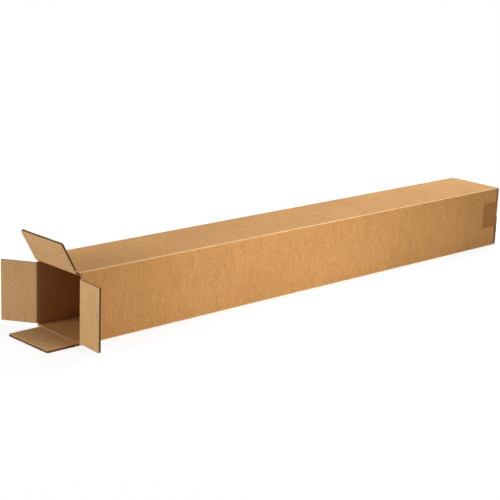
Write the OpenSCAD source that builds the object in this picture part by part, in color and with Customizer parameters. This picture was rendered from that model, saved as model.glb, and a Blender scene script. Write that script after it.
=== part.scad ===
// Long shipping box of corrugated board, one end taped shut and the other open.
// X runs along the box towards its closed end, Y from the near side to the far side, Z up.
// The origin is the middle of the underside.

/* [Inside] */
// Clear length between the closed inner flaps
inside_l = 965; // [300:5:1600]
// Clear width between the two sides
inside_w = 102; // [80:1:300]
// Clear height between floor and roof
inside_h = 102; // [80:1:300]

/* [Board] */
// Thickness of the corrugated board
board_t = 4; // [3.2:0.1:5]
// Thickness of each facing paper
liner_t = 0.5; // [0.3:0.05:0.7]
// Thickness of the wavy paper between the facings
medium_t = 0.4; // [0.25:0.05:0.6]
// Distance from one flute to the next
flute_pitch = 7.8; // [6:0.1:10]
// Outer radius of the folds along the box
long_fold_r = 2; // [1:0.1:3.2]

/* [Open end] */
// How far the top flap stands open from straight out
top_open = 61; // [0:1:170]
// How far the far flap stands open from straight out
far_open = 55; // [0:1:170]
// How far the near flap stands open from straight out
near_open = 85; // [0:1:170]
// How far the bottom flap is lifted from straight out
bottom_lift = 0; // [0:1:60]

/* [Slots between the flaps] */
// Top flap, cut back at its near side
top_cut_near = 1; // [0:0.1:12]
// Top flap, cut back at its far side
top_cut_far = 9; // [0:0.1:16]
// Bottom flap, cut back at its far side
bottom_cut_far = 13; // [0:0.1:16]
// Near flap, cut back below the roof
near_cut_top = 5.2; // [0:0.1:12]
// Far flap, cut back below the roof
far_cut_top = 5.7; // [0:0.1:12]
// Far flap, cut back above the floor
far_cut_bottom = 1.8; // [0:0.1:12]

/* [Glue tab] */
// Height of the tab that joins the bottom to the near side
tab_h = 35; // [15:1:60]
// Distance from the inside length's ends to the tab
tab_setback = 12; // [6:1:60]
// Run of the slope at each end of the tab
tab_slope = 9; // [2:1:20]

/* [Tape] */
// Width of the tape over the closed end
tape_w = 48; // [24:1:72]
// Thickness of the tape
tape_t = 0.2; // [0.1:0.05:0.4]
// Length of tape on each side of the box
tape_lap = 40; // [15:1:120]
// How far the tape sits above the flaps' seam
tape_rise = 5; // [-10:1:10]

/* [Clearances] */
// Between the stacked flaps, and in each mitred fold
fold_gap = 0.4; // [0.3:0.05:1]
// Between a wall's crushed edge and the flap's root
root_gap = 0.3; // [0.2:0.05:0.5]
// Between an inner flap's edges and the floor or roof
side_gap = 0.3; // [0.2:0.05:1]
// Between two closed flaps that meet
seam_gap = 2; // [0.5:0.1:6]

/* [Hidden] */
$fn = 64;

kraft = [0.76, 0.60, 0.41];
kraft_inside = [0.70, 0.53, 0.35];
tape_brown = [0.60, 0.40, 0.18];

// Outer section
outer_w = inside_w + 2 * board_t;
outer_h = inside_h + 2 * board_t;

// Places along the box, measured from its middle
inner_plane = inside_l / 2;
score_mid = inner_plane + board_t / 2;
inner_face = inner_plane + board_t;
outer_face = inner_face + fold_gap + board_t;

// The walls in turn about the box: a quarter turn apart, starting with the floor
BOTTOM = 0;
FAR = 1;
TOP = 2;
NEAR = 3;

// What each wall's flaps are cut back, at the wall's two long edges
cut_back = [
    [0, bottom_cut_far],
    [board_t + side_gap + far_cut_bottom, board_t + side_gap + far_cut_top],
    [top_cut_far, top_cut_near],
    [board_t + side_gap + near_cut_top, board_t + side_gap]
];

// Inner paper wave
core_h = board_t - 2 * liner_t;
bond = medium_t / 4;
wave_h = core_h / 2 - medium_t / 2 + bond;
leave_angle = acos((core_h / 2 - medium_t / 2) / wave_h);
wave_steps = 12;
crushed_l = 1.25 * board_t;
over = 1;

function is_outer(wall) = wall % 2 == 0;
function across(wall) = is_outer(wall) ? outer_w : outer_h;
function depth(wall) = is_outer(wall) ? outer_h : outer_w;
function edge_lo(wall) = -across(wall) / 2 + cut_back[wall][0];
function edge_hi(wall) = across(wall) / 2 - cut_back[wall][1];
function flap_l(wall) = (depth(wall) - seam_gap) / 2;
function hinge_x(wall) = is_outer(wall) ? -outer_face : -inner_face;

// Stands a wall's own frame in its place: X along the box, Y across the wall, Z into the box
module on_wall(wall) {
    translate([0, 0, outer_h / 2])
        rotate([90 * wall, 0, 0])
            translate([0, 0, -depth(wall) / 2])
                children();
}

// Extrudes a profile drawn along the box and into it, across a wall from lo to hi
module span_across(lo, hi) {
    translate([0, hi, 0])
        rotate([90, 0, 0])
            linear_extrude(hi - lo)
                children();
}

// Extrudes a profile drawn across the wall and into the box, along it from start to end
module run_along(start, end) {
    translate([start, 0, 0])
        rotate([90, 0, 90])
            linear_extrude(end - start)
                children();
}

// The waste outside a rounded corner, with the corner at the origin
module corner_waste(r) {
    difference() {
        translate([-over, -over])
            square(r + over);
        translate([r, r])
            circle(r);
    }
}

// The air under one wave of the inner paper, up to the facing
module flute_air(pitch) {
    reach = 180 - leave_angle;
    polygon([for (i = [0 : wave_steps])
        let (a = reach * (2 * i / wave_steps - 1))
        [pitch * a / 360, medium_t / 2 - wave_h * cos(a)]]);
}

// The air on both sides of the inner paper, over a whole number of flutes from the origin
module flutes(width) {
    count = round(width / flute_pitch);
    pitch = width / count;
    for (i = [0 : count])
        translate([i * pitch, board_t / 2])
            flute_air(pitch);
    for (i = [0 : count - 1])
        translate([(i + 0.5) * pitch, board_t / 2])
            mirror([0, 1])
                flute_air(pitch);
}

// Section of a flap at its score: its root is crushed to a wedge, so that it can fold inwards
module flap_section(length) {
    root = liner_t + root_gap;
    polygon([[-root, 0], [-root, root], [-board_t, board_t], [-length, board_t], [-length, 0]]);
}

// Section of a wall at its score: the outer facing alone reaches the hinge line
module crushed_edge() {
    start = fold_gap + liner_t;
    polygon([[0, 0], [0, liner_t], [start, liner_t],
        [fold_gap + board_t, board_t], [fold_gap + board_t, 0]]);
}

// Section of a wall's end that is folded over: the outside is round, the inside sharp
module folded_end(run, drop) {
    difference() {
        square([run, drop]);
        translate([-over, board_t])
            square([run - board_t + over, drop]);
        translate([run, 0])
            mirror([1, 0])
                corner_waste(board_t);
    }
}

// Ring of the four walls, drawn across the box and upwards
module wall_ring() {
    difference() {
        translate([-outer_w / 2, 0])
            square([outer_w, outer_h]);
        translate([-inside_w / 2, board_t])
            square([inside_w, inside_h]);
        translate([outer_w / 2, 0])
            mirror([1, 0])
                corner_waste(long_fold_r);
        for (side = [0, 1])
            mirror([side, 0])
                translate([-outer_w / 2, outer_h])
                    mirror([0, 1])
                        corner_waste(long_fold_r);
        // The bottom folds up inside the near side's cut edge
        intersection() {
            translate([board_t - outer_w / 2, 0])
                corner_waste(long_fold_r);
            translate([board_t - outer_w / 2, -over])
                square(long_fold_r + over);
        }
    }
}

// Ring with the sides opened where their flaps leave it, which leaves the four corners
module corner_ring() {
    difference() {
        wall_ring();
        for (wall = [FAR, NEAR]) {
            lo = wall == FAR ? edge_lo(wall) - side_gap : -edge_hi(wall) - side_gap;
            hi = wall == FAR ? edge_hi(wall) + side_gap : -edge_lo(wall) + side_gap;
            middle = wall == FAR ? outer_w / 2 : -outer_w / 2;
            translate([middle - board_t - over / 2, outer_h / 2 + lo])
                square([2 * board_t + over, hi - lo]);
        }
    }
}

// Tab of the bottom, folded up and glued to the inside of the near side
module glue_tab() {
    half = inner_plane - tab_setback;
    foot = board_t / 2;
    translate([0, board_t * 2 - outer_w / 2, 0])
        rotate([90, 0, 0])
            linear_extrude(board_t)
                polygon([[-half, foot], [-half, board_t], [-half + tab_slope, board_t + tab_h],
                    [half - tab_slope, board_t + tab_h], [half, board_t], [half, foot]]);
}

// Open end of a wall, from the corners' end to the hinge line
module open_end(wall) {
    side = is_outer(wall) ? 0 : side_gap;
    on_wall(wall) {
        translate([hinge_x(wall), 0, 0])
            span_across(edge_lo(wall) - side, edge_hi(wall) + side)
                crushed_edge();
        if (is_outer(wall))
            translate([-inner_face, 0, 0])
                span_across(edge_lo(wall), edge_hi(wall))
                    square([inner_face - score_mid, board_t]);
    }
}

// Closed end of a wall, folded over the box's end
module closed_end(wall) {
    run = (is_outer(wall) ? outer_face : inner_face) - inner_plane;
    on_wall(wall)
        translate([inner_plane, 0, 0])
            difference() {
                span_across(edge_lo(wall), edge_hi(wall))
                    folded_end(run, flap_l(wall));
                // The flute that the slot cut open along the flap's edges
                for (edge = [edge_lo(wall), edge_hi(wall)])
                    translate([run, edge, board_t])
                        rotate([0, 0, 90])
                            linear_extrude(flap_l(wall))
                                translate([0, board_t / 2])
                                    flute_air(flute_pitch);
            }
}

// The folded sheet without the four flaps that open
module box_body() {
    mouth = fold_gap - inner_plane;
    color(kraft)
        difference() {
            union() {
                run_along(mouth, inner_plane)
                    wall_ring();
                run_along(-score_mid, mouth)
                    corner_ring();
                run_along(inner_plane, score_mid)
                    corner_ring();
                for (wall = [BOTTOM, FAR, TOP, NEAR]) {
                    open_end(wall);
                    closed_end(wall);
                }
                glue_tab();
            }
            // The flute that is cut open along the near side's bottom edge
            on_wall(NEAR)
                run_along(-score_mid - over, score_mid + over)
                    translate([outer_h / 2, board_t / 2])
                        flute_air(flute_pitch);
        }
}

// Flap straight out from its hinge line, with its flutes open at the free edge
module flap(wall, opened) {
    on_wall(wall)
        translate([hinge_x(wall), 0, 0])
            rotate([0, -opened, 0])
                difference() {
                    span_across(edge_lo(wall), edge_hi(wall))
                        flap_section(flap_l(wall));
                    translate([0, edge_lo(wall), 0])
                        run_along(-flap_l(wall) - over, -crushed_l)
                            flutes(edge_hi(wall) - edge_lo(wall));
                }
}

module top_flap() {
    color(kraft_inside)
        flap(TOP, top_open);
}

module bottom_flap() {
    color(kraft_inside)
        flap(BOTTOM, -bottom_lift);
}

module near_flap() {
    color(kraft_inside)
        flap(NEAR, near_open);
}

module far_flap() {
    color(kraft_inside)
        flap(FAR, far_open);
}

// One strip of tape over the seam of the closed end and round onto both sides
module sealing_tape() {
    side = outer_w / 2;
    near_corner = side - min(cut_back[BOTTOM][0], cut_back[TOP][1]);
    far_corner = side - min(cut_back[BOTTOM][1], cut_back[TOP][0]);
    lap_x = inner_face - tape_lap;
    lift_x = score_mid + fold_gap;
    color(tape_brown)
        translate([0, 0, outer_h / 2 + tape_rise - tape_w / 2])
            linear_extrude(tape_w)
                polygon([[lap_x, -side], [lift_x, -side], [outer_face, -near_corner],
                    [outer_face, far_corner], [lift_x, side], [lap_x, side],
                    [lap_x, side + tape_t], [lift_x, side + tape_t],
                    [outer_face + tape_t, far_corner + tape_t],
                    [outer_face + tape_t, -near_corner - tape_t],
                    [lift_x, -side - tape_t], [lap_x, -side - tape_t]]);
}

box_body();
top_flap();
bottom_flap();
near_flap();
far_flap();
sealing_tape();
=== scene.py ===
import math

import bmesh
import bpy
import numpy as np
from mathutils import Matrix, Vector


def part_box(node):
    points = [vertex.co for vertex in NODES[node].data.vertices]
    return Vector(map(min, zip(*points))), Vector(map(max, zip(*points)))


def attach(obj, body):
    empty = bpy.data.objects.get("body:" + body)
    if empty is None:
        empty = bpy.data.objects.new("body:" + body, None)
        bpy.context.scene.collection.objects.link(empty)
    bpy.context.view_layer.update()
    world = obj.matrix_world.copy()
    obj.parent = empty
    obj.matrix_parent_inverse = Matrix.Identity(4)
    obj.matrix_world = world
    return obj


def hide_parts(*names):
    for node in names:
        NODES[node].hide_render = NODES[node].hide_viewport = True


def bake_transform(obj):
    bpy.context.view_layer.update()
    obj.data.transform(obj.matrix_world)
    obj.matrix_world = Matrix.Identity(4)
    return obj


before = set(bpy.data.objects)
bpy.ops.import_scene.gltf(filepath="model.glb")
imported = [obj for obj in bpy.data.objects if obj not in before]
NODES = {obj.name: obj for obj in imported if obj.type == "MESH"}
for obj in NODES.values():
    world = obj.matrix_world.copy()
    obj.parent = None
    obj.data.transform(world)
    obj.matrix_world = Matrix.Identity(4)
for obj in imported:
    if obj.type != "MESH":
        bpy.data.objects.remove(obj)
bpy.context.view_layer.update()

MM = 0.001

# Board and folds, in millimetres, as in the part's source
BOARD = 4.0
LINER = 0.5
MEDIUM = 0.34
WAVE = 1.42
PITCH = 7.8
ROOT = 0.8
FLAP_L = 54.0
# Outer flaps of the closed end: their inner and outer facings along the box, in metres
END_FLAP = (0.4869, 0.4909)
# Half the tube's width, and half the width inside it with a little over, in metres
HALF = 0.055
HALF_INSIDE = 0.0512

# Each open flap: name, hinge line, inward direction, opened angle in degrees, axis that it spans,
# its place on the paper's pattern, and its score's crest (share of the full height, width in mm)
FLAPS = [
    ("top_flap", (-0.4909, 0, 0.110), (0, 0, -1), 61, 1, (0.11, 0.20), (0.80, 1.8)),
    ("bottom_flap", (-0.4909, 0, 0.0), (0, 0, 1), 0, 1, (0.52, 0.43), (0.78, 1.6)),
    ("near_flap", (-0.4865, -0.055, 0.0), (0, 1, 0), 85, 2, (0.93, 0.07), (0.14, 7.2)),
    ("far_flap", (-0.4865, 0.055, 0.0), (0, -1, 0), 55, 2, (1.37, 0.61), (0.93, 1.6)),
]

# Camera: place in metres; heading, downward tilt and roll in degrees; focal length in photo pixels
CAMERA_PLACE = (-1.6422, -1.6022, 0.6697)
CAMERA_TURN = (43.86, 15.11, 2.19)
FOCAL, PHOTO_WIDTH, SENSOR = 1404.1, 500.0, 36.0

# Soft light from all round, as a share of full white
WORLD = 0.15
# Each lamp: place, aim, size, beam in degrees, watts, colour
LIGHTS = [
    ("left_box", (-2.6, 0.55, 0.35), (-0.5, 0, 0.06), (0.8, 0.5), 180, 27.5, (1, 1, 1)),
    ("left_high", (-2.3, 0.5, 0.85), (-0.5, 0, 0.06), (0.7, 0.5), 180, 8, (1, 1, 1)),
    ("front_box", (0.05, -1.3, 0.68), (0.05, 0, 0.05), (0.8, 0.5), 180, 5.2, (1, 0.91, 0.74)),
    ("front_spot", (0, -1.2, 0.5), (-0.05, 0, 0.05), (0.3, 0.3), 60, 0.8, (0.94, 1, 1.1)),
    ("front_left_spot", (-0.2, -1.2, 0.5), (-0.2, 0, 0.05), (0.3, 0.3), 70, 0.42, (1, 1, 1)),
    ("top_box", (0.95, 0.4, 1.6), (0.42, 0, 0.1), (0.8, 0.8), 180, 5.2, (0.87, 1, 1.18)),
    ("top_right", (0.85, 0.2, 0.95), (0.45, 0, 0.1), (0.6, 0.6), 180, 6.5, (0.87, 1, 1.18)),
    ("top_left", (-0.35, 0.5, 1.6), (-0.3, 0, 0.1), (0.8, 0.8), 180, 2.3, (0.87, 1, 1.18)),
    ("back_box", (0.2, 3.0, 1.3), (0, 0, 0.05), (2.0, 1.2), 180, 21, (1, 1, 1)),
    ("right_box", (2.8, 1.8, 1.1), (0.5, 0, 0.05), (1.2, 1.2), 180, 15, (1, 1, 1)),
]


# Camera, at the photograph's angle
def place_camera():
    data = bpy.data.cameras.new("camera")
    data.sensor_width = SENSOR
    data.lens = FOCAL / PHOTO_WIDTH * SENSOR
    data.clip_start, data.clip_end = 0.05, 100.0
    cam = bpy.data.objects.new("camera", data)
    bpy.context.scene.collection.objects.link(cam)
    az, el, roll = (math.radians(a) for a in CAMERA_TURN)
    fwd = Vector((math.sin(az) * math.cos(el), math.cos(az) * math.cos(el), -math.sin(el)))
    right0 = fwd.cross(Vector((0, 0, 1))).normalized()
    up0 = right0.cross(fwd)
    right = right0 * math.cos(roll) + up0 * math.sin(roll)
    up = up0 * math.cos(roll) - right0 * math.sin(roll)
    turn = Matrix((right, up, -fwd)).transposed()
    cam.matrix_world = Matrix.Translation(CAMERA_PLACE) @ turn.to_4x4()
    bpy.context.scene.camera = cam


# Colour and node helpers
def rgb(r, g, b):
    return tuple(c / 12.92 if c <= 0.04045 else ((c + 0.055) / 1.055) ** 2.4
                 for c in (r / 255, g / 255, b / 255)) + (1.0,)


class Nodes:
    """A material's node tree, with one short call for each node."""

    def __init__(self, name):
        self.mat = bpy.data.materials.new(name)
        self.mat.use_nodes = True
        self.tree = self.mat.node_tree
        self.shader = self.tree.nodes["Principled BSDF"]

    def add(self, kind, **props):
        node = self.tree.nodes.new(kind)
        for key, value in props.items():
            setattr(node, key, value)
        return node

    def wire(self, value, socket):
        if isinstance(value, bpy.types.NodeSocket):
            self.tree.links.new(value, socket)
        else:
            socket.default_value = value

    def math(self, kind, a, b=None, clamp=False):
        node = self.add("ShaderNodeMath", operation=kind, use_clamp=clamp)
        self.wire(a, node.inputs[0])
        if b is not None:
            self.wire(b, node.inputs[1])
        return node.outputs[0]

    def both(self, a, b):
        """Two masks at once."""
        return self.math("MULTIPLY", a, b)

    def split(self, vector):
        node = self.add("ShaderNodeSeparateXYZ")
        self.wire(vector, node.inputs[0])
        return node.outputs

    def scaled(self, vector, sx, sy, sz, shift=(0, 0, 0)):
        node = self.add("ShaderNodeMapping")
        self.wire(vector, node.inputs["Vector"])
        node.inputs["Scale"].default_value = (sx, sy, sz)
        node.inputs["Location"].default_value = shift
        return node.outputs[0]

    def noise(self, vector, scale=1.0, detail=3.0, rough=0.55, warp=0.0):
        node = self.add("ShaderNodeTexNoise")
        self.wire(vector, node.inputs["Vector"])
        node.inputs["Scale"].default_value = scale
        node.inputs["Detail"].default_value = detail
        node.inputs["Roughness"].default_value = rough
        node.inputs["Distortion"].default_value = warp
        return node.outputs[0]

    def span(self, value, lo, hi, to_lo=0.0, to_hi=1.0):
        node = self.add("ShaderNodeMapRange", interpolation_type="SMOOTHSTEP")
        self.wire(value, node.inputs["Value"])
        for key, v in (("From Min", lo), ("From Max", hi), ("To Min", to_lo), ("To Max", to_hi)):
            node.inputs[key].default_value = v
        return node.outputs[0]

    def mix(self, factor, a, b):
        node = self.add("ShaderNodeMix", data_type="RGBA")
        self.wire(factor, node.inputs[0])
        self.wire(a, node.inputs[6])
        self.wire(b, node.inputs[7])
        return node.outputs[2]

    def weigh(self, parts, base=0.5):
        """base plus each noise's swing about its middle, times its weight."""
        total = base
        for value, weight in parts:
            swing = self.math("MULTIPLY", self.math("SUBTRACT", value, 0.5), weight)
            total = self.math("ADD", swing, total)
        return total

    def clamped(self, value):
        return self.math("ADD", value, 0.0, clamp=True)

    def bump(self, height, distance, strength=1.0, below=None):
        node = self.add("ShaderNodeBump")
        node.inputs["Strength"].default_value = strength
        node.inputs["Distance"].default_value = distance
        self.wire(height, node.inputs["Height"])
        if below is not None:
            self.wire(below, node.inputs["Normal"])
        return node.outputs[0]

    def uv(self):
        return self.add("ShaderNodeUVMap", uv_map="sheet").outputs[0]

    def place(self):
        return self.add("ShaderNodeTexCoord").outputs["Object"]

    def finish(self, colour, rough, normal=None, level=0.1):
        self.wire(colour, self.shader.inputs["Base Color"])
        self.wire(rough, self.shader.inputs["Roughness"])
        self.shader.inputs["Specular IOR Level"].default_value = level
        if normal is not None:
            self.wire(normal, self.shader.inputs["Normal"])
        return self.mat


def paper(t, where, dark, light):
    """Kraft paper: its colour, roughness and normal. Streaks run across where.x, the flutes' direction."""
    clouds = t.noise(t.scaled(where, 9, 9, 9), detail=2, rough=0.5)
    mottle = t.noise(t.scaled(where, 260, 170, 170), detail=4, rough=0.7)
    flocs = t.noise(t.scaled(where, 620, 520, 520, (5, 3, 8)), detail=3, rough=0.65)
    bands = t.noise(t.scaled(where, 190, 16, 16, (3, 1, 2)), detail=2, rough=0.6)
    streaks = t.noise(t.scaled(where, 520, 60, 60, (1, 5, 4)), detail=3, rough=0.7)
    fibres = t.noise(t.scaled(where, 3200, 1100, 1100, (7, 2, 9)), detail=3, rough=0.7, warp=0.6)
    parts = [(clouds, 0.35), (mottle, 0.75), (flocs, 0.8), (bands, 0.30), (streaks, 0.55), (fibres, 0.7)]
    colour = t.mix(t.clamped(t.weigh(parts)), dark, light)
    specks = t.noise(t.scaled(where, 900, 900, 900, (2, 8, 1)), detail=1, rough=0.5)
    colour = t.mix(t.span(specks, 0.72, 0.82, 0, 0.35), colour, rgb(118, 78, 44))
    rough = t.span(mottle, 0.3, 0.7, 0.82, 0.94)
    fuzz = t.weigh([(fibres, 0.6), (mottle, 0.5), (streaks, 0.3), (flocs, 0.4)])
    return colour, rough, t.bump(fuzz, 0.00012, 0.5)


def washboard(t, across, strength=0.35):
    """The flutes that show faintly through the facing, one every pitch."""
    turn = t.math("MULTIPLY", across, 2 * math.pi / (PITCH * MM))
    return t.math("MULTIPLY", t.math("COSINE", turn), strength)


def fold_highlight_and_wear_mask(t, where, side, level, inside):
    """The long folds: a painted highlight where the rounded fold catches the light, on paper that is also
    stretched, paler and rubbed.
    """
    gap_y = t.math("SUBTRACT", HALF, side)
    gap_z = t.math("SUBTRACT", HALF, level)
    far = t.math("SQRT", t.math("ADD", t.math("POWER", gap_y, 2), t.math("POWER", gap_z, 2)))
    worn = t.noise(t.scaled(where, 60, 60, 60), detail=4, rough=0.7)
    fold = t.both(t.span(far, 0.0006, 0.0017, 1, 0), t.span(worn, 0.25, 0.6, 0.55, 1.0))
    return t.both(fold, t.math("SUBTRACT", 1.0, inside))


def crushed_mask(t, x, face_x, inside):
    """The ends of the corners beside the open flaps."""
    crushed = t.both(t.math("LESS_THAN", face_x, -0.9), t.math("LESS_THAN", x, 0.0))
    return t.both(crushed, t.math("SUBTRACT", 1.0, inside))


def crushed_colour(t, where):
    crumbs = t.noise(t.scaled(where, 700, 700, 700), detail=3, rough=0.7)
    return t.mix(t.span(crumbs, 0.35, 0.65), rgb(132, 90, 52), rgb(204, 160, 114))


def end_flap_edge_and_hollow_shade(t, axes, side, level, face):
    """Mask and colour of the closed end's cut edges: pale facings, wavy paper at the seam, a torn flute at
    the sides, and painted shade in the flute hollows between them.
    """
    deep = t.math("DIVIDE", t.math("SUBTRACT", axes[0], END_FLAP[0]), END_FLAP[1] - END_FLAP[0])
    on_flap = t.both(t.math("GREATER_THAN", deep, 0.02), t.math("LESS_THAN", deep, 0.98))
    seam = t.math("GREATER_THAN", t.math("ABSOLUTE", face[2]), 0.7)
    seam = t.both(seam, t.math("LESS_THAN", level, 0.0015))
    turn = t.math("MULTIPLY", axes[1], 2 * math.pi / (PITCH * MM))
    wave = t.math("ADD", t.math("MULTIPLY", t.math("COSINE", turn), 0.36), 0.5)
    off_wave = t.math("ABSOLUTE", t.math("SUBTRACT", deep, wave))
    off_middle = t.math("ABSOLUTE", t.math("SUBTRACT", deep, 0.5))
    facing = t.span(off_middle, 0.35, 0.39)
    pale = t.math("MAXIMUM", facing, t.both(seam, t.span(off_wave, 0.08, 0.14, 1, 0)))
    flank = t.math("GREATER_THAN", side, 0.0400)
    flank = t.both(flank, t.math("GREATER_THAN", t.math("ABSOLUTE", face[1]), 0.3))
    # painted shade: the flute hollows between the pale facings and the wave get this dark colour
    colour = t.mix(pale, rgb(84, 52, 26), rgb(206, 162, 112))
    return t.both(on_flap, t.math("MAXIMUM", seam, flank)), colour


def flute_bump(t, axes, face_y, normal):
    """Flutes run along x, so they repeat across y on level faces and up z on upright ones."""
    upright = t.math("GREATER_THAN", t.math("ABSOLUTE", face_y), 0.7)
    ribs = t.add("ShaderNodeMix", data_type="FLOAT")
    t.wire(upright, ribs.inputs[0])
    t.wire(washboard(t, axes[1]), ribs.inputs[2])
    t.wire(washboard(t, axes[2]), ribs.inputs[3])
    return t.bump(ribs.outputs[0], 0.00006, 0.5, below=normal)


def body_material():
    """The box's board, told apart by place: inside, long folds with a painted highlight, crushed corners,
    and cut edges with painted shade in their flute hollows.
    """
    t = Nodes("kraft_box")
    where = t.place()
    axes = t.split(where)
    face = t.split(t.add("ShaderNodeNewGeometry").outputs["True Normal"])
    side = t.math("ABSOLUTE", axes[1])
    level = t.math("ABSOLUTE", t.math("SUBTRACT", axes[2], HALF))
    inside = t.both(t.math("LESS_THAN", side, HALF_INSIDE), t.math("LESS_THAN", level, HALF_INSIDE))
    colour, rough, normal = paper(t, where, rgb(174, 121, 66), rgb(228, 173, 110))
    colour = t.mix(t.math("MULTIPLY", inside, 0.5), colour, rgb(190, 146, 98))
    # painted highlight along the long folds, mixed with paler rubbed paper
    colour = t.mix(fold_highlight_and_wear_mask(t, where, side, level, inside), colour, rgb(250, 214, 164))
    colour = t.mix(crushed_mask(t, axes[0], face[0], inside), colour, crushed_colour(t, where))
    # closed end's cut edges, with painted shade in their flute hollows
    shown, edge = end_flap_edge_and_hollow_shade(t, axes, side, level, face)
    colour = t.mix(shown, colour, edge)
    return t.finish(colour, rough, flute_bump(t, axes, face[1], normal))


def sheet_material(name, dark, light):
    t = Nodes(name)
    where = t.uv()
    colour, rough, normal = paper(t, where, dark, light)
    return t.finish(colour, rough, normal)


def cut_edge_and_highlight_material():
    """Cut paper edge: pale fibre, brightened further as a painted highlight on the flaps' free edges;
    fuzzy.
    """
    t = Nodes("kraft_cut_edge")
    where = t.uv()
    grain = t.noise(t.scaled(where, 2600, 2600, 2600), detail=4, rough=0.8)
    # painted highlight: the cut edges are made paler than the fibre alone so that they show as a light
    # line
    colour = t.mix(grain, rgb(176, 134, 90), rgb(240, 204, 156))
    return t.finish(colour, 0.95, t.bump(grain, 0.0002, 0.7), 0.15)


def medium_material():
    """The wavy paper: darker, with its own fibres."""
    t = Nodes("kraft_medium")
    where = t.uv()
    grain = t.noise(t.scaled(where, 300, 1500, 900), detail=4, rough=0.7)
    colour = t.mix(grain, rgb(104, 60, 26), rgb(156, 100, 50))
    return t.finish(colour, 0.95, t.bump(grain, 0.00015, 0.5), 0.0)


def tape_material():
    """Brown film with glue clouds and fine drawn lines along it."""
    t = Nodes("brown_tape")
    where = t.uv()
    clouds = t.noise(t.scaled(where, 55, 90, 1), detail=4, rough=0.6)
    lines = t.noise(t.scaled(where, 9, 1500, 1), detail=2, rough=0.5)
    tone = t.weigh([(clouds, 0.9), (lines, 0.5)])
    colour = t.mix(t.clamped(tone), rgb(158, 102, 42), rgb(184, 124, 58))
    rough = t.span(clouds, 0.35, 0.65, 0.38, 0.50)
    wave = t.noise(t.scaled(where, 120, 45, 1), detail=2, rough=0.5)
    return t.finish(colour, rough, t.bump(wave, 0.0004, 0.25), 0.25)


# Mesh helpers
class Solid:
    """Collects closed slabs into one mesh with a sheet UV map in metres."""

    def __init__(self):
        self.verts, self.faces, self.slots, self.uvs = [], [], [], []

    def slab(self, top, low, uv, slots=(0, 1, 2)):
        """Adds a closed slab. top and low are (m, n, 3) arrays and uv is (m, n, 2).

        slots are the material slots of the top, the low side and the rim.
        """
        m, n = top.shape[:2]
        base = len(self.verts)
        self.verts += [tuple(p) for p in top.reshape(-1, 3)] + [tuple(p) for p in low.reshape(-1, 3)]
        flat = [tuple(p) for p in uv.reshape(-1, 2)]

        def face(ids, slot):
            self.faces.append([base + i for i in ids])
            self.slots.append(slot)
            self.uvs += [flat[i % (m * n)] for i in ids]

        k = m * n
        for i in range(m - 1):
            for j in range(n - 1):
                a, b, c, d = i * n + j, (i + 1) * n + j, (i + 1) * n + j + 1, i * n + j + 1
                face([a, b, c, d], slots[0])
                face([d + k, c + k, b + k, a + k], slots[1])
        rim = [i * n for i in range(m)] + [(m - 1) * n + j for j in range(1, n)]
        rim += [i * n + n - 1 for i in range(m - 2, -1, -1)] + [j for j in range(n - 2, 0, -1)]
        for a, b in zip(rim, rim[1:] + rim[:1]):
            face([b, a, a + k, b + k], slots[2])

    def build(self, name, materials, sharp=35):
        mesh = bpy.data.meshes.new(name)
        mesh.from_pydata(self.verts, [], self.faces)
        for material in materials:
            mesh.materials.append(material)
        mesh.polygons.foreach_set("material_index", self.slots)
        layer = mesh.uv_layers.new(name="sheet")
        layer.data.foreach_set("uv", np.array(self.uvs, np.float32).ravel())
        mesh.polygons.foreach_set("use_smooth", [True] * len(mesh.polygons))
        mesh.validate()
        piece = bpy.data.objects.new(name, mesh)
        bpy.context.scene.collection.objects.link(piece)
        outwards(mesh)
        mesh.set_sharp_from_angle(angle=math.radians(sharp))
        return piece


def outwards(mesh):
    bm = bmesh.new()
    bm.from_mesh(mesh)
    bmesh.ops.recalc_face_normals(bm, faces=bm.faces)
    bm.to_mesh(mesh)
    bm.free()
    mesh.update()


class Fold:
    """One open flap: its hinge line, its rest angle, and the frame of its sheet."""

    def __init__(self, name, hinge, inward, opened, axis, offset, dip):
        self.name, self.opened, self.offset, self.dip = name, math.radians(opened), offset, dip
        self.hinge, self.inward = np.array(hinge, float), np.array(inward, float)
        lo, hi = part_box(name)
        self.axis = axis
        self.span = (lo[axis] / MM, hi[axis] / MM)
        self.across = np.eye(3)[axis]

    def at(self, out, deep, across, angle=None):
        """World points, in metres. out runs towards the free edge, deep from outer to inner facing."""
        angle = self.opened if angle is None else angle
        along = -(out * np.cos(angle)) - deep * np.sin(angle)
        inn = -(out * np.sin(angle)) + deep * np.cos(angle)
        place = along[..., None] * np.array([1.0, 0, 0])
        place = place + inn[..., None] * self.inward + across[..., None] * self.across
        start = self.hinge.copy()
        start[self.axis] = 0
        return place * MM + start


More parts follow.
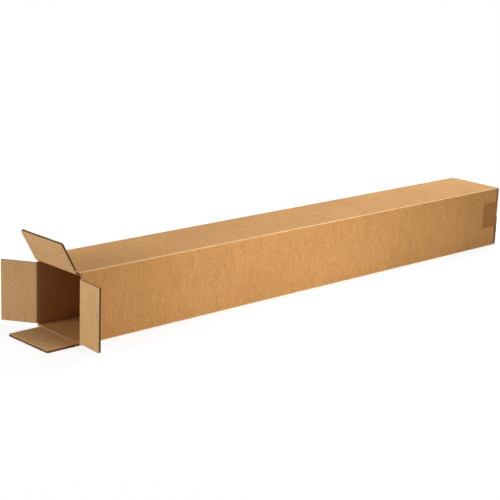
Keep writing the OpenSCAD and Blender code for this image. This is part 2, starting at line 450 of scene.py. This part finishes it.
def flap_piece(fold, materials):
    lo, hi = fold.span
    width = hi - lo
    count = round(width / PITCH)
    pitch = width / count
    solid = Solid()

    def pinch(out, across):
        """The knife presses the sheet a little at its cut edges."""
        edge = np.minimum(across - lo, hi - across)
        return 1 - 0.10 * np.exp(-edge / 0.9) - 0.05 * np.exp(-(FLAP_L - out) / 0.8)

    def squeezed(out, across, deep):
        return BOARD / 2 + (deep - BOARD / 2) * pinch(out, across)

    def ribs(across, sign):
        return 0.04 * (1 - sign * np.cos(2 * np.pi * (across - lo) / pitch))

    def grid(outs, acrosses):
        return np.meshgrid(np.array(outs), np.array(acrosses), indexing="ij")

    cells = np.linspace(lo, hi, count * 6 + 1)
    edges = np.concatenate([[lo, lo + 0.3, lo + 0.8], cells[2:-2], [hi - 0.8, hi - 0.3, hi]])
    outs = [FLAP_L, FLAP_L - 0.3, FLAP_L - 0.9, FLAP_L - 2] + list(np.linspace(50, 6, 12))
    # Outer facing, down to the root
    o, a = grid(outs + [4, 2, ROOT], edges)
    uv = np.stack([o * MM + fold.offset[0], a * MM + fold.offset[1]], -1)
    solid.slab(fold.at(o, squeezed(o, a, ribs(a, 1)), a),
               fold.at(o, squeezed(o, a, LINER + 0 * o), a), uv, (0, 3, 2))
    # Inner facing, down to where the score is crushed
    o, a = grid(outs + [5.0, 4.0], edges)
    uv = np.stack([o * MM + fold.offset[0] + 0.3, a * MM + fold.offset[1]], -1)
    solid.slab(fold.at(o, squeezed(o, a, BOARD - ribs(a, -1)), a),
               fold.at(o, squeezed(o, a, BOARD - LINER + 0 * o), a), uv, (1, 3, 2))
    # Wavy paper between them
    fine = np.linspace(lo, hi, count * 16 + 1)
    o, a = grid([FLAP_L - 0.05, FLAP_L - 1, FLAP_L - 3, 40, 25, 12, 5], fine)
    wave = BOARD / 2 - WAVE * np.cos(2 * np.pi * (a - lo) / pitch)
    slope = 2 * np.pi / pitch * WAVE * np.sin(2 * np.pi * (a - lo) / pitch)
    thick = MEDIUM / 2 * np.sqrt(1 + slope ** 2)
    uv = np.stack([o * MM, a * MM], -1)
    solid.slab(fold.at(o, squeezed(o, a, wave - thick), a),
               fold.at(o, squeezed(o, a, wave + thick), a), uv, (3, 3, 2))
    # Crushed wedge at the root
    o, a = grid([5.0, 4.0, 2.4, ROOT], edges)
    top = np.minimum(np.maximum(o, ROOT), BOARD - 0.05)
    solid.slab(fold.at(o, LINER - 0.1 + 0 * o, a), fold.at(o, top, a),
               np.stack([o * MM, a * MM], -1), (3, 1, 2))
    piece = solid.build(fold.name + "_board", materials)
    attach(piece, fold.name)
    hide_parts(fold.name)
    return piece


def rounded(points, near, steps=6):
    """The path through points, each corner made round over a length near on both sides."""
    points = [np.array(p, float) for p in points]
    path = [points[0]]
    for before, corner, after in zip(points, points[1:], points[2:]):
        back, on = before - corner, after - corner
        first = corner + back * min(near / np.linalg.norm(back), 0.48)
        last = corner + on * min(near / np.linalg.norm(on), 0.48)
        for s in np.linspace(0, 1, steps):
            path.append((1 - s) ** 2 * first + 2 * s * (1 - s) * corner + s ** 2 * last)
    return np.array(path + [points[-1]])


def crease_path(fold):
    """The inner facing's line: along the wall, down to the fold's crest and out along the flap."""
    half, full = fold.opened / 2, fold.opened
    face = BOARD - 0.04
    ridge = face * math.tan(half)

    def on_flap(out):
        return (out * math.cos(full) + face * math.sin(full), face * math.cos(full) - out * math.sin(full))

    share, width = fold.dip
    crest = face / math.cos(half) * share
    return rounded([(-4.75, face), (ridge - width, face), (crest * math.sin(half), crest * math.cos(half)),
                    on_flap(width - ridge), on_flap(4.6)], 0.7)


def crease_inside(fold, materials, acrosses, jitter):
    """The inner facing drawn over the score, and the crushed waves under it."""
    path = crease_path(fold)
    step = np.gradient(path, axis=0)
    step /= np.linalg.norm(step, axis=1)[:, None]
    inward = np.stack([-step[:, 1], step[:, 0]], -1)
    inward *= -np.sign(np.sum(inward * path, axis=1))[:, None]
    run = np.concatenate([[0], np.cumsum(np.linalg.norm(np.diff(path, axis=0), axis=1))])
    run -= run[len(run) // 2]

    def sheet(sink, rows=slice(None), cols=slice(None)):
        """The path laid across the flap, sunk below its face, with the crest's small wrinkles."""
        wrinkle = jitter[None, cols] * np.exp(-(run[rows, None] / 1.6) ** 2)
        uv = path[rows, None] + inward[rows, None] * (sink + wrinkle)[..., None]
        a = np.broadcast_to(acrosses[None, cols], wrinkle.shape)
        return fold.at(uv[..., 0], uv[..., 1], a, 0.0), a

    top, a = sheet(0.0)
    low, _ = sheet(0.42)
    solid = Solid()
    along = np.broadcast_to(run[:, None], a.shape)
    uv = np.stack([along * MM + fold.offset[0] + 0.3, a * MM + fold.offset[1]], -1)
    solid.slab(top, low, uv, (0, 0, 1))
    # Crushed waves, a fan about the hinge line
    rim, a = sheet(0.25, slice(1, -1), slice(1, -1, 2))
    fan = np.linspace(-math.pi / 4, fold.opened + math.pi / 4, rim.shape[0])[:, None] + 0 * a
    hub = fold.at(0.55 * np.sin(fan), 0.55 * np.cos(fan), a, 0.0)
    solid.slab(rim, hub, np.stack([a * MM, fan * MM], -1), (3, 3, 3))
    return solid.build(fold.name + "_score_inside", materials, 60)


def crease_outside(fold, materials, acrosses):
    """The outer facing, bent smoothly from the wall to the flap."""
    out, a = np.meshgrid(np.linspace(0.0, ROOT + 0.02, 7), acrosses, indexing="ij")
    turn = np.clip(out / ROOT, 0, 1)
    turn = turn * turn * (3 - 2 * turn) * fold.opened
    solid = Solid()
    uv = np.stack([out * MM + fold.offset[0], a * MM + fold.offset[1]], -1)
    solid.slab(fold.at(out, 0 * out, a, turn), fold.at(out, 0 * out + 0.46, a, turn), uv, (2, 2, 1))
    return solid.build(fold.name + "_score_outside", materials, 60)


def crease_pieces(fold, materials, seed):
    """The score's two pieces, which reach from the box to the flap."""
    lo, hi = fold.span
    acrosses = np.linspace(lo + 0.15, hi - 0.15, 61)
    rng = np.random.default_rng(seed)
    jitter = np.convolve(rng.normal(0, 1, 80), np.ones(6) / 6, "same")[:61] * 0.12

    def point(out, deep, angle=None):
        spot = fold.at(np.array([out]), np.array([deep]), np.zeros(1), angle)
        return tuple(spot[0])

    inner = crease_inside(fold, materials, acrosses, jitter)
    point(-3.9, BOARD, 0.0)
    point(3.9, BOARD)
    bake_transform(inner)
    outer = crease_outside(fold, materials, acrosses)
    point(0.0, 0.0, 0.0)
    point(ROOT, 0.0)
    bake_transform(outer)


def tape_path(lap):
    """The strip's line round the closed end, seen from above, in millimetres, from lap to lap."""
    side, end, r = 55.0, 490.9, 3.6
    path = []
    for s in np.linspace(0, 1, 14):
        path.append((lap + s * (end - r - lap), -side))
    for k in range(1, 9):
        a = math.pi / 2 * k / 9
        path.append((end - r + r * math.sin(a), -side + r - r * math.cos(a)))
    for s in np.linspace(0, 1, 16):
        path.append((end, -side + r + s * 2 * (side - r)))
    for k in range(1, 9):
        a = math.pi / 2 * k / 9
        path.append((end - r + r * math.cos(a), side - r + r * math.sin(a)))
    for s in np.linspace(0, 1, 14):
        path.append((end - r - s * (end - r - lap), side))
    return np.array(path)


def tape_piece(material):
    """The strip over the closed end: round at both folds, cut with small teeth at its ends."""
    lo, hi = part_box("sealing_tape")
    lo, hi = np.array(lo) / MM, np.array(hi) / MM
    path = tape_path(lo[0])
    step = np.gradient(path, axis=0)
    step /= np.linalg.norm(step, axis=1)[:, None]
    out = np.stack([step[:, 1], -step[:, 0]], -1)
    length = np.concatenate([[0], np.cumsum(np.linalg.norm(np.diff(path, axis=0), axis=1))])
    teeth = 72
    zs = np.linspace(lo[2] + 0.05, hi[2] - 0.05, teeth + 1)
    m, n = len(path), len(zs)
    centre = np.zeros((m, n, 3))
    centre[..., 0], centre[..., 1] = path[:, None, 0], path[:, None, 1]
    centre[..., 2] = zs[None, :]
    notch = 0.55 * (np.arange(n) % 2)
    centre[0, :, 0] += notch
    centre[-1, :, 0] += notch[::-1]
    normal = np.zeros((m, n, 3))
    normal[..., 0], normal[..., 1] = out[:, None, 0], out[:, None, 1]
    top = (centre + normal * 0.16) * MM
    low = (centre + normal * 0.02) * MM
    uv = np.stack(np.meshgrid(length, zs, indexing="ij"), -1) * MM
    solid = Solid()
    solid.slab(top, low, uv, (0, 0, 0))
    piece = solid.build("sealing_tape_strip", [material], 40)
    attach(piece, "box")
    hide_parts("sealing_tape")


def stage_floor():
    """Pale floor. Its shadows fade into the white backdrop away from the box."""
    mesh = bpy.data.meshes.new("floor")
    mesh.from_pydata([(-40, -40, 0), (40, -40, 0), (40, 40, 0), (-40, 40, 0)], [], [(0, 1, 2, 3)])
    floor = bpy.data.objects.new("floor", mesh)
    floor.location.z = -0.0002
    bpy.context.scene.collection.objects.link(floor)
    mat = bpy.data.materials.new("floor_white")
    mat.use_nodes = True
    mesh.materials.append(mat)
    tree = mat.node_tree
    tree.nodes.clear()

    def diffuse(r, g, b):
        node = tree.nodes.new("ShaderNodeBsdfDiffuse")
        node.inputs[0].default_value = (r, g, b, 1)
        return node.outputs[0]

    def glow(strength):
        node = tree.nodes.new("ShaderNodeEmission")
        node.inputs[0].default_value = (1, 1, 1, 1)
        node.inputs[1].default_value = strength
        return node.outputs[0]

    def mixed(factor, a, b):
        node = tree.nodes.new("ShaderNodeMixShader")
        for socket, value in zip(node.inputs, (factor, a, b)):
            tree.links.new(value, socket)
        return node.outputs[0]

    near = tree.nodes.new("ShaderNodeAddShader")
    tree.links.new(diffuse(0.26, 0.26, 0.26), near.inputs[0])
    tree.links.new(glow(0.82), near.inputs[1])
    reach = tree.nodes.new("ShaderNodeVectorMath")
    reach.operation = "LENGTH"
    tree.links.new(tree.nodes.new("ShaderNodeTexCoord").outputs["Object"], reach.inputs[0])
    fade = tree.nodes.new("ShaderNodeMapRange")
    fade.interpolation_type = "SMOOTHSTEP"
    fade.inputs["From Min"].default_value = 0.6
    fade.inputs["From Max"].default_value = 1.3
    tree.links.new(reach.outputs["Value"], fade.inputs["Value"])
    seen = mixed(fade.outputs[0], near.outputs[0], glow(1.0))
    camera_ray = tree.nodes.new("ShaderNodeLightPath").outputs["Is Camera Ray"]
    shader = mixed(camera_ray, diffuse(0.50, 0.49, 0.48), seen)
    out = tree.nodes.new("ShaderNodeOutputMaterial")
    tree.links.new(shader, out.inputs[0])


def backdrop():
    """White behind the box and in its reflections, and a weak soft light for everything else."""
    world = bpy.data.worlds.new("studio")
    bpy.context.scene.world = world
    world.use_nodes = True
    tree = world.node_tree
    tree.nodes.clear()
    out = tree.nodes.new("ShaderNodeOutputWorld")
    path = tree.nodes.new("ShaderNodeLightPath")
    soft = tree.nodes.new("ShaderNodeBackground")
    soft.inputs[0].default_value = (1.0, 0.99, 0.97, 1)
    soft.inputs[1].default_value = WORLD
    white = tree.nodes.new("ShaderNodeBackground")
    white.inputs[0].default_value = (1, 1, 1, 1)
    white.inputs[1].default_value = 1.0
    mix = tree.nodes.new("ShaderNodeMixShader")
    seen = tree.nodes.new("ShaderNodeMath")
    seen.operation = "MAXIMUM"
    tree.links.new(path.outputs["Is Camera Ray"], seen.inputs[0])
    tree.links.new(path.outputs["Is Glossy Ray"], seen.inputs[1])
    tree.links.new(seen.outputs[0], mix.inputs[0])
    tree.links.new(soft.outputs[0], mix.inputs[1])
    tree.links.new(white.outputs[0], mix.inputs[2])
    tree.links.new(mix.outputs[0], out.inputs[0])


def lamps():
    for name, place, aim, size, spread, power, colour in LIGHTS:
        data = bpy.data.lights.new(name, "AREA")
        data.spread = math.radians(spread)
        data.shape = "RECTANGLE"
        data.size, data.size_y = size
        data.energy = power
        data.color = colour
        lamp = bpy.data.objects.new(name, data)
        bpy.context.scene.collection.objects.link(lamp)
        lamp.location = place
        lamp.rotation_mode = "QUATERNION"
        lamp.rotation_quaternion = (Vector(aim) - Vector(place)).to_track_quat("-Z", "Y")


def dress_box():
    """Board material on the box, and finer pieces for the open flaps, their scores and the tape."""
    body = NODES["box_body"]
    body.data.materials.clear()
    body.data.materials.append(body_material())
    kraft_out = sheet_material("kraft_outside", rgb(172, 122, 68), rgb(222, 178, 122))
    kraft_in = sheet_material("kraft_inside", rgb(176, 130, 80), rgb(224, 184, 134))
    # cut edges: pale fibre with a painted highlight
    cut_edge_and_highlight = cut_edge_and_highlight_material()
    medium = medium_material()
    for index, entry in enumerate(FLAPS):
        fold = Fold(*entry)
        flap_piece(fold, [kraft_out, kraft_in, cut_edge_and_highlight, medium])
        crease_pieces(fold, [kraft_in, cut_edge_and_highlight, kraft_out, medium], 11 + index)
    tape_piece(tape_material())


place_camera()
bpy.context.scene.view_settings.view_transform = "Standard"
stage_floor()
backdrop()
lamps()
dress_box()
